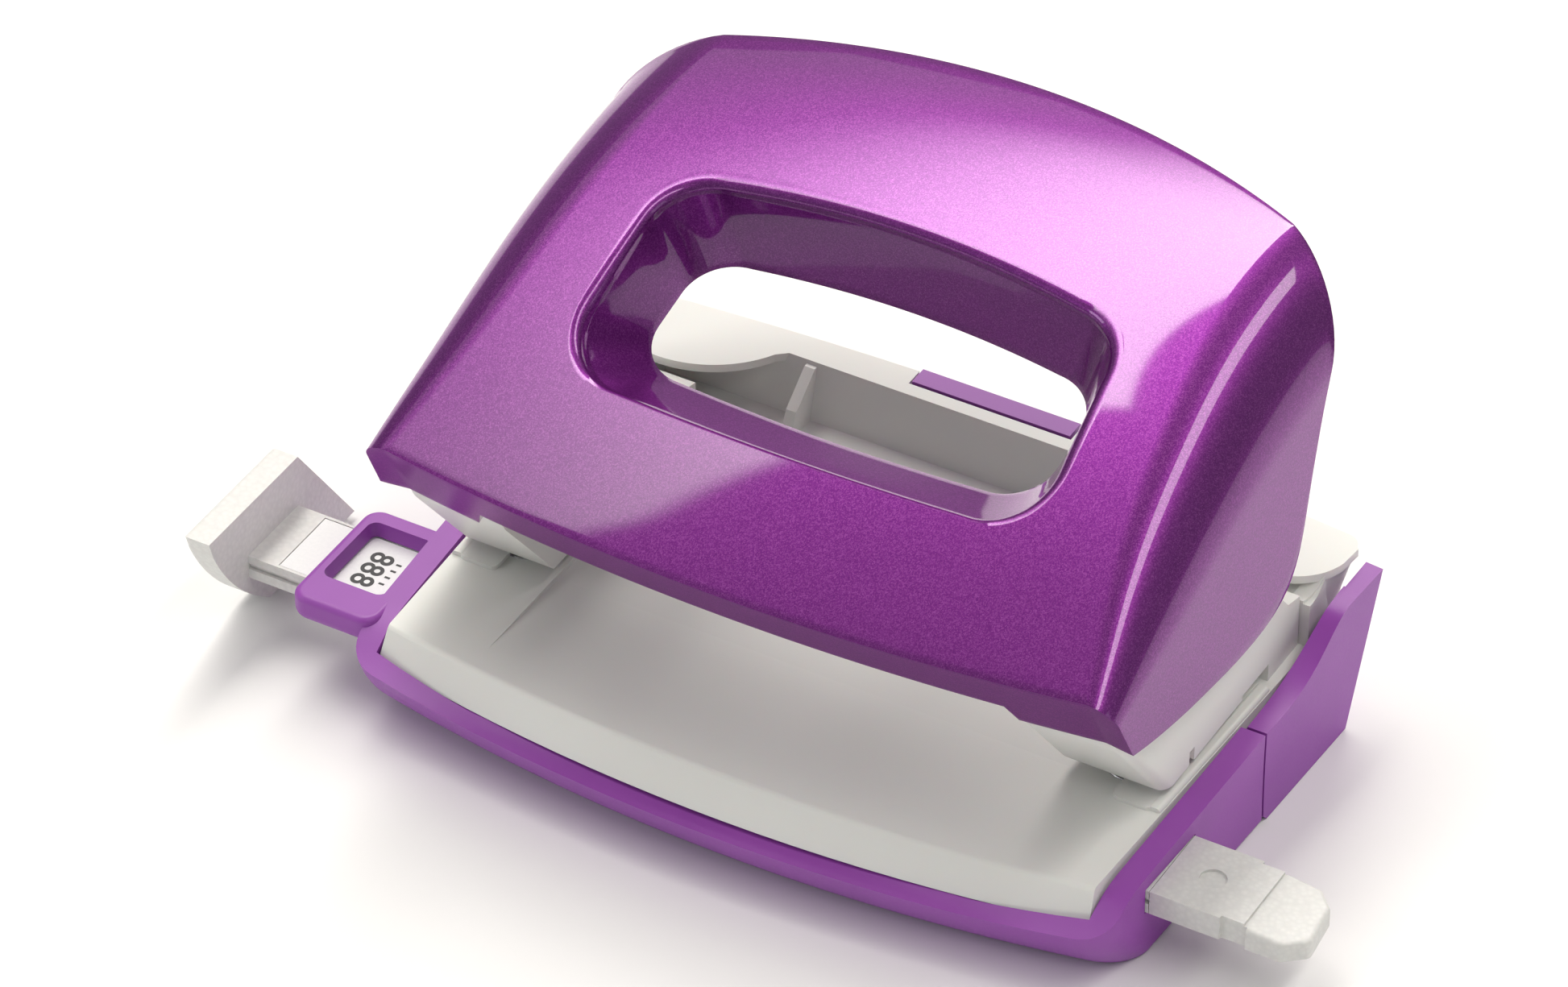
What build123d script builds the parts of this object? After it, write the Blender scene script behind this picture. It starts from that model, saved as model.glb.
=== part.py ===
from build123d import *
from math import atan2, cos, hypot, radians, sin, sqrt, tan
import os

# Two-hole desk punch.  X runs across the paper edge, +Y towards the back, +Z up.
# Origin: on the resting plane, midway between the two punch axes.

os.makedirs("parts", exist_ok=True)

# ---- driving dimensions (mm) -------------------------------------------------
HOLE_PITCH = 80.0           # centre to centre of the two holes
PIN_R = 2.75                # 5.5 mm holes
HOLE_TO_EDGE = 12.0         # hole centre to paper edge
PIN_X = HOLE_PITCH / 2

TABLE_Z = 12.6              # paper table
HEAD_Z = 14.5               # underside of the punch heads: throat 1.9 high
TABLE_SKIN = 2.0
BEVEL_Z = 8.6               # foot of the table's front bevel
SPREAD = tan(radians(2.2))  # both sides of the base open out towards the back

HEAD_IN_X = 33.4
HEAD_OUT_X = 46.3
HEAD_FRONT_Y = -6.5
HEAD_TOP_Z = 34.2
HEAD_WALL = 1.8

AXLE_Y, AXLE_Z = -13.0, 30.0
AXLE_R = 1.25
NOSE_R = 4.5

PIN_TIP_Z = 15.0
PIN_TOP_Z = 41.5
SPRING_SEAT_Z = 31.0
CLIP_Z = 38.0

SEAM_Y = 9.4                # front tray in front of it, emptying flap behind it
FLOOR_T = 1.6
SIDE_X = 50.9               # half width of the tray at its seam

BAR_Y0, BAR_Y1 = -17.5, -6.6    # paper guide bar
BAR_Z1 = 10.0
BAR_T = 3.2
STOP_X = -68.5              # inner face of the end stop
TAB_X = 69.0
STRIP_X = (STOP_X + 4, 29.5)  # printed format strip along the bar

RUN_FIT = 0.05              # radial clearance of shafts
GAP = 0.15                  # gap between mouldings
HINGE_Y, HINGE_Z = SEAM_Y - 1.0, 1.4    # emptying flap
HINGE_PIN_R = 0.6
KNUCKLE_R = 1.15
TONGUE_X = 10.5             # half width of the flap's latch tongue
KNUCKLE_X = (33.0, 41.0)


def save(piece, name):
    piece.label = name
    export_step(piece, f"parts/{name}.step")


def side_x(y, at_front):
    return at_front + SPREAD * (y - HEAD_FRONT_Y)


# ---- paper table -------------------------------------------------------------
TABLE_X = 46.9
TABLE_FRONT = -26.4
TABLE_CORNER_Y = -22.6
TABLE_BACK = 30.6
BACK_BOW = 2.6              # the back of the base is bowed in plan


def table_outline(grow, front, corner):
    """Plan of the table: bowed front, sides opening towards the back."""
    x0 = side_x(corner, TABLE_X) + grow
    x1 = side_x(TABLE_BACK, TABLE_X) + grow
    with BuildLine() as line:
        ThreePointArc((-x0, corner), (0, front), (x0, corner))
        Line((x0, corner), (x1, TABLE_BACK))
        ThreePointArc((x1, TABLE_BACK), (0, TABLE_BACK + BACK_BOW), (-x1, TABLE_BACK))
        Line((-x1, TABLE_BACK), (-x0, corner))
    return line.line


BEVEL_RUN = 2.9
RIM_Y = (-8.0, 17.0)
with BuildPart() as base_plate:
    with BuildSketch(Plane.XY.offset(BEVEL_Z)):
        with BuildLine():
            add(table_outline(0, TABLE_FRONT - BEVEL_RUN, TABLE_CORNER_Y - 1.9))
        make_face()
    with BuildSketch(Plane.XY.offset(TABLE_Z)):
        with BuildLine():
            add(table_outline(-0.4, TABLE_FRONT, TABLE_CORNER_Y))
        make_face()
    loft()
    top_front = base_plate.faces().sort_by(Axis.Z)[-1].edges().sort_by(Axis.Y)[0]
    fillet(top_front, 0.8)
    # hollow underside, leaving the skin and a rim
    with BuildSketch(Plane.XY.offset(BEVEL_Z)):
        with BuildLine():
            add(table_outline(-2.6, TABLE_FRONT + 0.4, TABLE_CORNER_Y + 0.8))
        make_face()
    extrude(amount=TABLE_Z - TABLE_SKIN - BEVEL_Z, mode=Mode.SUBTRACT)
    # shallow ramp between the heads
    DISH, DISH_BACK = 0.8, 26.0
    with BuildSketch(Plane.YZ.offset(-HEAD_IN_X - 0.3)):
        with BuildLine():
            Polyline((-20.5, TABLE_Z), (-5, TABLE_Z - DISH), (DISH_BACK, TABLE_Z - DISH),
                     (DISH_BACK, TABLE_Z + 1), (-20.5, TABLE_Z + 1), close=True)
        make_face()
    extrude(amount=2 * (HEAD_IN_X + 0.3), mode=Mode.SUBTRACT)
    # raised rounded side rims beside the throat
    for s in (-1, 1):
        with BuildSketch(Plane.XY.offset(TABLE_Z - 0.5)):
            with BuildLine():
                Polyline((s * (side_x(RIM_Y[0], TABLE_X) - 2.2), RIM_Y[0]),
                         (s * (side_x(RIM_Y[0], TABLE_X) - 0.5), RIM_Y[0]),
                         (s * (side_x(RIM_Y[1], TABLE_X) - 0.5), RIM_Y[1]),
                         (s * (side_x(RIM_Y[1], TABLE_X) - 2.2), RIM_Y[1]), close=True)
            make_face()
        extrude(amount=1.1)
    rims = base_plate.faces().filter_by(Axis.Z).group_by(Axis.Z)[-1].edges().filter_by(
        lambda e: e.length > 20)
    fillet(rims, 0.55)
    # lead-in pads under the outer half of each head
    with BuildSketch(Plane.XY.offset(TABLE_Z - 0.2)):
        with Locations((PIN_X + 2.8, -5.6), (-PIN_X - 2.8, -5.6)):
            RectangleRounded(5.0, 5.4, 0.8)
    extrude(amount=0.75)
    # die seats and the chip holes beneath them
    with Locations(*[Location((s * PIN_X, 0, TABLE_Z)) for s in (-1, 1)]):
        Hole(5.0, depth=1.4)
        Hole(PIN_R + 0.6, depth=8)
    # openings for the base screws
    SCREWS = [(s * x, y) for s in (-1, 1) for x, y in ((36.5, 16.0), (42.6, 22.6))]
    with Locations(*[Location((x, y, TABLE_Z)) for x, y in SCREWS]):
        Hole(1.3, depth=8)
    # passage for the guide bar through both side skirts
    with BuildSketch(Plane.YZ.offset(-60)):
        with Locations(((BAR_Y0 + BAR_Y1) / 2, BAR_Z1 - 2.5 + 0.15)):
            Rectangle(BAR_Y1 - BAR_Y0 + 0.6, 5)
    extrude(amount=120, mode=Mode.SUBTRACT)
save(base_plate.part, "base_plate")

# ---- steel dies --------------------------------------------------------------
for s, side in ((-1, "left"), (1, "right")):
    with BuildPart() as die:
        with BuildSketch(Plane.XY.offset(TABLE_Z - 1.4)):
            with Locations((s * PIN_X, 0)):
                Circle(5.0)
                Circle(PIN_R + RUN_FIT, mode=Mode.SUBTRACT)
        extrude(amount=1.35)
        chamfer(die.edges().filter_by(GeomType.CIRCLE).group_by(Axis.Z)[-1].sort_by(SortBy.RADIUS)[-1], 0.3)
    save(die.part, f"die_{side}")

# ---- punch heads -------------------------------------------------------------
# tangent from the head's lower front corner to the rounded nose round the axle
dy, dz = AXLE_Y - HEAD_FRONT_Y, AXLE_Z - HEAD_Z
reach = hypot(dy, dz)
tangent_angle = atan2(dz, dy) + atan2(NOSE_R, sqrt(reach**2 - NOSE_R**2))
tangent_len = sqrt(reach**2 - NOSE_R**2)
TANGENT = (HEAD_FRONT_Y + tangent_len * cos(tangent_angle), HEAD_Z + tangent_len * sin(tangent_angle))
NOSE_TOP = (AXLE_Y, AXLE_Z + NOSE_R)
NOSE_MID = (AXLE_Y - NOSE_R * cos(radians(25)), AXLE_Z + NOSE_R * sin(radians(25)))
HEAD_BACK_Y = 26.0
BRIDGE = (-4.6, 7.5, 28.0, SPRING_SEAT_Z)


def head_profile():
    with BuildLine() as line:
        Line((HEAD_FRONT_Y, HEAD_Z), TANGENT)
        ThreePointArc(TANGENT, NOSE_MID, NOSE_TOP)
        Polyline(NOSE_TOP, (6, HEAD_TOP_Z), (14, 31.0), (23, 20.6), (HEAD_BACK_Y, 19.8),
                 (HEAD_BACK_Y, TABLE_Z),
                 (HOLE_TO_EDGE, TABLE_Z), (HOLE_TO_EDGE, HEAD_Z), (HEAD_FRONT_Y, HEAD_Z))
    return line.line


def cavity_profile():
    inner_r = NOSE_R - 1.1
    with BuildLine() as line:
        inner = (AXLE_Y - inner_r * cos(radians(37)), AXLE_Z - inner_r * sin(radians(37)))
        side = (AXLE_Y - inner_r, AXLE_Z)
        low = (HEAD_FRONT_Y + 0.6, HEAD_Z + 4.0)
        Line(low, inner)
        ThreePointArc(inner, (AXLE_Y - inner_r * cos(radians(18)), AXLE_Z - inner_r * sin(radians(18))),
                      side)
        Polyline(side, (AXLE_Y - inner_r, HEAD_TOP_Z + 3), (15.5, HEAD_TOP_Z + 3), (15.5, HEAD_Z + 4.0),
                 low)
    return line.line


for s, side in ((-1, "left"), (1, "right")):
    inner_x, outer_x = s * HEAD_IN_X, s * HEAD_OUT_X
    with BuildPart() as head:
        with BuildSketch(Plane.YZ.offset(inner_x)):
            with BuildLine():
                add(head_profile())
            make_face()
        extrude(amount=s * (HEAD_OUT_X - HEAD_IN_X))
        outer_face = head.faces().filter_by(Axis.X).sort_by(Axis.X)[-1 if s > 0 else 0]
        fillet(outer_face.edges().filter_by(lambda e: e.center().Y < -8 and e.center().Z < AXLE_Z + 3), 1.4)
        # throat carried on past the paper stop along the outer face
        with BuildSketch(Plane.XY.offset(TABLE_Z)):
            with Locations((s * (HEAD_OUT_X - 0.9), (HOLE_TO_EDGE + 18.5) / 2)):
                Rectangle(1.8, 18.5 - HOLE_TO_EDGE)
        extrude(amount=HEAD_Z + 0.6 - TABLE_Z, mode=Mode.SUBTRACT)
        # working cavity, open at the top
        with BuildSketch(Plane.YZ.offset(s * (HEAD_IN_X + HEAD_WALL))):
            with BuildLine():
                add(cavity_profile())
            make_face()
        extrude(amount=s * (HEAD_OUT_X - HEAD_IN_X - 2 * HEAD_WALL), mode=Mode.SUBTRACT)
        # bridge that seats the return spring and guides the pin
        y0, y1, z0, z1 = BRIDGE
        with BuildSketch(Plane.YZ.offset(s * (HEAD_IN_X + HEAD_WALL))):
            with Locations(((y0 + y1) / 2, (z0 + z1) / 2)):
                Rectangle(y1 - y0, z1 - z0)
        extrude(amount=s * (HEAD_OUT_X - HEAD_IN_X - 2 * HEAD_WALL))
        with Locations(Location((s * PIN_X, 0, z1))):
            Hole(PIN_R + RUN_FIT, depth=z1 - HEAD_Z + 1)
        # axle bore through both walls
        with BuildSketch(Plane.YZ.offset(inner_x)):
            with Locations((AXLE_Y, AXLE_Z)):
                Circle(AXLE_R)
        extrude(amount=s * (HEAD_OUT_X - HEAD_IN_X), mode=Mode.SUBTRACT)
        # sight notch in the outer wall, above the pin axis
        with BuildSketch(Plane.XY.offset(HEAD_Z - 0.1)):
            with Locations((s * HEAD_OUT_X, -0.4)):
                Rectangle(1.6, 1.2)
        extrude(amount=2.0, mode=Mode.SUBTRACT)
        # blind screw holes in the foot
        with Locations(*[Location((x, y, TABLE_Z), (180, 0, 0)) for x, y in SCREWS if x * s > 0]):
            Hole(1.0, depth=5.5)
    save(head.part, f"head_{side}")

    # short axle pressed into the two walls
    with BuildPart() as axle:
        with BuildSketch(Plane.YZ.offset(s * (HEAD_IN_X + 0.1))):
            with Locations((AXLE_Y, AXLE_Z)):
                Circle(AXLE_R)
        extrude(amount=s * (HEAD_OUT_X - HEAD_IN_X - 0.2))
        chamfer(axle.edges().filter_by(GeomType.CIRCLE), 0.2)
    save(axle.part, f"axle_{side}")

# ---- base screws: one node, four equal screws --------------------------------
with BuildPart() as base_screws:
    with BuildSketch(Plane.XY.offset(TABLE_Z - TABLE_SKIN - 1.3)):
        with Locations(*SCREWS):
            Circle(2.1)
    extrude(amount=1.3)
    with BuildSketch(Plane.XY.offset(TABLE_Z - TABLE_SKIN)):
        with Locations(*SCREWS):
            Circle(1.0)
    extrude(amount=TABLE_SKIN + 5.0)
    with BuildSketch(Plane.XY.offset(TABLE_Z - TABLE_SKIN - 1.3)):
        with Locations(*SCREWS):
            Rectangle(2.6, 0.6)
            Rectangle(0.6, 2.6)
    extrude(amount=0.8, mode=Mode.SUBTRACT)
save(base_screws.part, "base_screws")

# ---- rear body: back wall and the two shoulder shelves -----------------------
REAR_Z = 21.0
BODY_FRONT_Y = HEAD_BACK_Y + 0.2
BASIN_FLOOR_Z = 13.6
NOTCH_X = TONGUE_X + 0.3


def body_outline(x_front, x_back, y_back):
    with BuildLine() as line:
        Polyline((-x_back, y_back), (-x_front, BODY_FRONT_Y), (x_front, BODY_FRONT_Y), (x_back, y_back))
        ThreePointArc((x_back, y_back), (0, y_back + BACK_BOW), (-x_back, y_back))
    return line.line


with BuildPart() as rear_body:
    with BuildSketch(Plane.XY.offset(TABLE_Z)):
        with BuildLine():
            add(body_outline(46.6, 47.6, 33.4))
        make_face()
    with BuildSketch(Plane.XY.offset(REAR_Z)):
        with BuildLine():
            add(body_outline(46.6, 49.3, 37.2))
        make_face()
    loft()
    corner_edges = rear_body.edges().filter_by(lambda e: abs(e.center().X) > 47 and e.center().Y > 32
                                               and abs(e.tangent_at(0.5).Z) > 0.6)
    fillet(corner_edges, 2.2)
    # open basin
    with BuildSketch(Plane.XY.offset(REAR_Z)):
        with BuildLine():
            Polyline((-44.6, 20), (-46.4, 35.1), (46.4, 35.1), (44.6, 20), close=True)
        make_face()
    extrude(amount=BASIN_FLOOR_Z - REAR_Z, taper=14, mode=Mode.SUBTRACT)
    # side walls swept down towards the heads
    with BuildSketch(Plane.YZ.offset(-60)):
        with BuildLine():
            ThreePointArc((BODY_FRONT_Y, 19.0), (28.6, 19.4), (30.0, REAR_Z))
            Polyline((30.0, REAR_Z), (30.0, REAR_Z + 1), (BODY_FRONT_Y - 2, REAR_Z + 1),
                     (BODY_FRONT_Y - 2, 19.0),
                     (BODY_FRONT_Y, 19.0))
        make_face()
    extrude(amount=120, mode=Mode.SUBTRACT)
    for s in (-1, 1):
        # shelf over the rear corner, front rounded
        with BuildSketch(Plane.XY.offset(REAR_Z - 1.1)):
            with BuildLine():
                Line((s * 22.8, 37.6), (s * 27.2, 34.0))
                ThreePointArc((s * 27.2, 34.0), (s * 32.6, 28.6), (s * 40, 26.9))
                ThreePointArc((s * 40, 26.9), (s * 45.6, 28.0), (s * 48.6, 32.4))
                Polyline((s * 48.6, 32.4), (s * 48.9, 35.6), (s * 46.8, 37.2), (s * 22.8, 38.6),
                         (s * 22.8, 37.6))
            make_face()
        extrude(amount=1.1)
        # solid shoulder under the outer end of the shelf, with a hollowed front
        with BuildSketch(Plane.YZ.offset(s * 42.0)):
            with BuildLine():
                ThreePointArc((BODY_FRONT_Y, 18.6), (28.6, 19.0), (30.0, REAR_Z - 0.5))
                Polyline((30.0, REAR_Z - 0.5), (35.6, REAR_Z - 0.5), (33.6, TABLE_Z),
                         (BODY_FRONT_Y, TABLE_Z),
                         (BODY_FRONT_Y, 18.6))
            make_face()
        extrude(amount=s * 5.5)
        # end wall of the middle basin
        with BuildSketch(Plane.YZ.offset(s * 22.0)):
            with BuildLine():
                Polyline((28.0, TABLE_Z + 0.2), (34.0, TABLE_Z + 0.2), (36.0, REAR_Z - 0.5),
                         (34.4, REAR_Z - 0.5),
                         (30.0, 17.0), close=True)
            make_face()
        extrude(amount=s * 1.4)
    # notch for the latch tongue
    with BuildSketch(Plane.YZ.offset(-NOTCH_X)):
        with BuildLine():
            Polyline((34.0, TABLE_Z - 0.1), (37.0, 18.0), (37.0, 22), (45, 22), (45, TABLE_Z - 0.1),
                     close=True)
        make_face()
    extrude(amount=2 * NOTCH_X, mode=Mode.SUBTRACT)
save(rear_body.part, "rear_body")

# ---- chip tray: front part, with the guide housing on its left ---------------
TRAY_LIP_Z = 6.0
TRAY_TOP_Z = 13.2


def tray_outline(x_seam, front_mid, front_side, corner, back, spread=SPREAD):
    """Plan of the tray: bowed front, rounded front corners, sides opening towards a bowed back."""
    x0, x1 = x_seam + spread * (front_side - SEAM_Y), x_seam + spread * (back - SEAM_Y)
    with BuildSketch(Plane.XY, mode=Mode.PRIVATE) as plan:
        with BuildLine():
            ThreePointArc((-x0, front_side), (0, front_mid), (x0, front_side))
            Line((x0, front_side), (x1, back))
            ThreePointArc((x1, back), (0, back + BACK_BOW), (-x1, back))
            Line((-x1, back), (-x0, front_side))
        make_face()
        fillet(plan.vertices().sort_by(Axis.Y)[:2], corner)
    return plan.sketch


def tray_body(back_low, back_high, top):
    """Outer form of the base tray, lofted through three levels."""
    with BuildPart(mode=Mode.PRIVATE) as form:
        with BuildSketch(Plane.XY):
            add(tray_outline(SIDE_X - 0.1, -25.6, -19.6, 6.0, back_low))
        with BuildSketch(Plane.XY.offset(TRAY_LIP_Z)):
            add(tray_outline(SIDE_X - 0.2, -30.6, -25.2, 5.0, (2 * back_low + back_high) / 3))
        with BuildSketch(Plane.XY.offset(top)):
            add(tray_outline(SIDE_X, -30.6, -25.2, 5.0, back_high))
        loft()
    return form.part


def slab(y0, y1, z0, z1, x=70):
    """Block across the whole width, for cutting and keeping."""
    return Pos(0, (y0 + y1) / 2, (z0 + z1) / 2) * Box(2 * x, y1 - y0, z1 - z0)


REAR_LOW_Y, REAR_HIGH_Y, REAR_TOP_Z = 29.0, 36.8, 21.0
# side view of the wall top: falls to the lip in front, sweeps up at the back
FRONT_TOP = [(-40, 8.2), (-27.5, 8.4), (-22.5, 10.9), (-17, 12.0), (SEAM_Y, TRAY_TOP_Z)]
HOUSING_X0, HOUSING_X1 = -59.6, -47.9
HOUSING_Y0, HOUSING_Y1 = -22.8, -4.2
HOUSING_Z, HOUSING_LOW_Z = 11.9, 8.2
WINDOW = (-58.1, -49.6, -18.0, -6.6)
CAVITY_X = 45.6

whole_tray = tray_body(REAR_LOW_Y, REAR_HIGH_Y, REAR_TOP_Z)
with BuildPart() as housing:
    with BuildSketch(Plane.XY.offset(HOUSING_LOW_Z)):
        with Locations(((HOUSING_X0 + HOUSING_X1) / 2, (HOUSING_Y0 + HOUSING_Y1) / 2)):
            RectangleRounded(HOUSING_X1 - HOUSING_X0, HOUSING_Y1 - HOUSING_Y0, 2.2)
    extrude(amount=HOUSING_Z - HOUSING_LOW_Z)
    fillet(housing.edges().group_by(Axis.Z)[-1], 0.8)
    fillet(housing.edges().group_by(Axis.Z)[0], 1.5)
front_form = whole_tray & slab(-60, SEAM_Y - 0.2, -1, 30)
bar_channel = Pos(0, (BAR_Y0 + BAR_Y1) / 2, BAR_Z1 - BAR_T / 2) * Box(150, BAR_Y1 - BAR_Y0 + 0.3,
                                                                      BAR_T + 0.3)

with BuildPart() as chip_tray:
    add(front_form)
    # wall top
    with BuildSketch(Plane.YZ.offset(-70)):
        with BuildLine():
            Spline(*FRONT_TOP[:4], tangents=((1, 0.03), (1, 0.05)))
            Polyline(FRONT_TOP[3], FRONT_TOP[4], (SEAM_Y + 5, TRAY_TOP_Z), (SEAM_Y + 5, 40), (-40, 40),
                     FRONT_TOP[0])
        make_face()
    extrude(amount=140, mode=Mode.SUBTRACT)
    # recess that takes the paper table
    with BuildSketch(Plane.XY.offset(BEVEL_Z - 0.1)):
        with BuildLine():
            add(table_outline(GAP, TABLE_FRONT - BEVEL_RUN - GAP, TABLE_CORNER_Y - 1.9 - GAP))
        make_face()
    extrude(amount=20, mode=Mode.SUBTRACT)
    with BuildSketch(Plane.XY.offset(5.8)):
        with BuildLine():
            add(table_outline(-0.6, TABLE_FRONT - BEVEL_RUN + 0.9, TABLE_CORNER_Y - 1.0))
        make_face()
    extrude(amount=5, mode=Mode.SUBTRACT)
    # chip space
    with BuildSketch(Plane.XY.offset(FLOOR_T)):
        add(tray_outline(CAVITY_X, -23.6, -18.0, 5.0, SEAM_Y + 5, 0))
    extrude(amount=12, mode=Mode.SUBTRACT)
    fillet(chip_tray.edges().filter_by(lambda e: e.center().Z < 0.01 and e.length > 20
                                       and e.center().Y < SEAM_Y - 1), 0.8)
    # guide housing
    add(housing.part)
    # window over the format strip
    with BuildSketch(Plane.XY.offset(HOUSING_Z)):
        with Locations(((WINDOW[0] + WINDOW[1]) / 2, (WINDOW[2] + WINDOW[3]) / 2)):
            window = RectangleRounded(WINDOW[1] - WINDOW[0], WINDOW[3] - WINDOW[2], 1.2)
    extrude(amount=BAR_Z1 + 0.1 - HOUSING_Z, taper=14, mode=Mode.SUBTRACT)
    extrude(to_extrude=window, amount=2, mode=Mode.SUBTRACT)
    # channel for the guide bar, right through both walls
    add(bar_channel, mode=Mode.SUBTRACT)
    # bosses that hold the flap's hinge pins, and slots for its knuckles
    for s in (-1, 1):
        for x in (KNUCKLE_X[0] - 1.6, KNUCKLE_X[1] + 1.6):
            with BuildSketch(Plane.XY.offset(FLOOR_T - 0.2)):
                with Locations((s * x, HINGE_Y - 0.5)):
                    Rectangle(2.8, 2.4)
            extrude(amount=1.6)
        with BuildSketch(Plane.XY.offset(-1)):
            with Locations((s * sum(KNUCKLE_X) / 2, SEAM_Y)):
                Rectangle(KNUCKLE_X[1] - KNUCKLE_X[0] + 0.4, 5.2)
        extrude(amount=5, mode=Mode.SUBTRACT)
        with BuildSketch(Plane.YZ.offset(s * (KNUCKLE_X[0] - 2.6))):
            with Locations((HINGE_Y, HINGE_Z)):
                Circle(HINGE_PIN_R)
        extrude(amount=s * 13.4, mode=Mode.SUBTRACT)
    # bevelled foot of the seam, so that the flap can swing past it
    with BuildSketch(Plane.YZ.offset(-60)):
        with BuildLine():
            Polyline((SEAM_Y - 1.1, -0.1), (SEAM_Y, -0.1), (SEAM_Y, 1.0), close=True)
        make_face()
    extrude(amount=120, mode=Mode.SUBTRACT)
save(chip_tray.part, "chip_tray")

# ---- emptying flap: rear part of the chip tray -------------------------------
SIDE_TOP = [(SEAM_Y - 5, TRAY_TOP_Z), (SEAM_Y, TRAY_TOP_Z), (15.5, 13.4), (21.2, 15.2), (26.2, 18.4),
            (29.5, 19.0)]
rear_form = (whole_tray & slab(SEAM_Y + 0.2, 60, -1, 30)) - slab(31.0, 60, TABLE_Z - 0.3, 30, 49.6)
with BuildPart() as chip_flap:
    add(rear_form)
    # wall top: low in front, concave sweep up to the shoulder, flat behind it
    with BuildSketch(Plane.YZ.offset(-70)):
        with BuildLine():
            Line(SIDE_TOP[0], SIDE_TOP[1])
            Spline(*SIDE_TOP[1:], tangents=((1, 0), (1, 0.05)))
            Polyline(SIDE_TOP[-1], (60, 18.2), (60, 40), (SIDE_TOP[0][0], 40), SIDE_TOP[0])
        make_face()
    extrude(amount=140, mode=Mode.SUBTRACT)
    # room for the table, the white body and the chips
    with BuildSketch(Plane.XY.offset(BEVEL_Z - 0.3)):
        with BuildLine():
            add(table_outline(GAP + 0.15, TABLE_FRONT - 5, TABLE_CORNER_Y))
        make_face()
    extrude(amount=30, mode=Mode.SUBTRACT)
    with BuildSketch(Plane.XY.offset(TABLE_Z - 0.3)):
        with BuildLine():
            Polyline((-48.1, 5), (-48.1, 38), (48.1, 38), (48.1, 5), close=True)
        make_face()
    with BuildSketch(Plane.XY.offset(REAR_Z)):
        with BuildLine():
            Polyline((-49.8, 5), (-49.8, 42), (49.8, 42), (49.8, 5), close=True)
        make_face()
    loft(mode=Mode.SUBTRACT)
    with BuildSketch(Plane.XY.offset(FLOOR_T)):
        with BuildLine():
            Polyline((-CAVITY_X, 27.2), (-CAVITY_X, 0), (CAVITY_X, 0), (CAVITY_X, 27.2))
            ThreePointArc((CAVITY_X, 27.2), (0, 27.2 + BACK_BOW), (-CAVITY_X, 27.2))
        make_face()
    extrude(amount=8, mode=Mode.SUBTRACT)
    with BuildSketch(Plane.YZ.offset(-60)):
        with BuildLine():
            Polyline((SEAM_Y + 1.1, -0.1), (SEAM_Y, -0.1), (SEAM_Y, 1.0), close=True)
        make_face()
    extrude(amount=120, mode=Mode.SUBTRACT)
    # hinge knuckles reaching into the front floor's slots
    for s in (-1, 1):
        with BuildSketch(Plane.YZ.offset(s * KNUCKLE_X[0])):
            with Locations((HINGE_Y, HINGE_Z)):
                Circle(KNUCKLE_R)
            with Locations((HINGE_Y + 1.6, HINGE_Z)):
                Rectangle(3.2, 1.6)
            with Locations((HINGE_Y, HINGE_Z)):
                Circle(HINGE_PIN_R + RUN_FIT, mode=Mode.SUBTRACT)
        extrude(amount=s * (KNUCKLE_X[1] - KNUCKLE_X[0]))
    # latch tongue that snaps into the notch of the white back wall
    with BuildSketch(Plane.YZ.offset(-TONGUE_X)):
        with BuildLine():
            Polyline((34.5, 11.0), (37.3, 17.6), (37.3, 21.2), (40.0, 21.2), (40.4, 20.3), (39.2, 17.5),
                     (36.0, 11.0),
                     close=True)
        make_face()
    extrude(amount=2 * TONGUE_X)
save(chip_flap.part, "chip_flap")

# ---- flap hinge pins and guide detent ----------------------------------------
for s, side in ((-1, "left"), (1, "right")):
    with BuildPart() as hinge_pin:
        with BuildSketch(Plane.YZ.offset(s * (KNUCKLE_X[0] - 2.5))):
            with Locations((HINGE_Y, HINGE_Z)):
                Circle(HINGE_PIN_R)
        extrude(amount=s * 13.2)
    save(hinge_pin.part, f"flap_pin_{side}")

# ---- paper guide -------------------------------------------------------------
BAR_MID = (BAR_Y0 + BAR_Y1) / 2
BAR_W = BAR_Y1 - BAR_Y0
with BuildPart() as guide_bar:
    with BuildSketch(Plane.YZ.offset(STOP_X)):
        with Locations((BAR_MID, BAR_Z1 - BAR_T / 2)):
            Rectangle(BAR_W, BAR_T)
        # side grooves that run in the tray's channel
        for s in (-1, 1):
            with Locations((BAR_MID + s * BAR_W / 2, BAR_Z1 - 1.5)):
                Rectangle(0.9, 0.8, mode=Mode.SUBTRACT)
    extrude(amount=50.0 - STOP_X)
    # rebate for the format strip
    with BuildSketch(Plane.XY.offset(BAR_Z1)):
        with Locations((sum(STRIP_X) / 2, BAR_MID)):
            Rectangle(STRIP_X[1] - STRIP_X[0], 10.1)
    extrude(amount=-0.4, mode=Mode.SUBTRACT)
    # detent notches underneath, one per format
    for stop in (28.5, 34.0, 65.0, 108.5):
        with BuildSketch(Plane.XZ.offset(-BAR_MID)):
            with Locations((min(48.0, STOP_X + PIN_X + stop + 20), BAR_Z1 - BAR_T)):
                Circle(0.6)
        extrude(amount=3, both=True, mode=Mode.SUBTRACT)
save(guide_bar.part, "guide_bar")

with BuildPart() as format_strip:
    with BuildSketch(Plane.XY.offset(BAR_Z1 - 0.4)):
        with Locations((sum(STRIP_X) / 2, BAR_MID)):
            Rectangle(STRIP_X[1] - STRIP_X[0] - 0.2, 9.9)
    extrude(amount=0.35)
save(format_strip.part, "format_strip")

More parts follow.
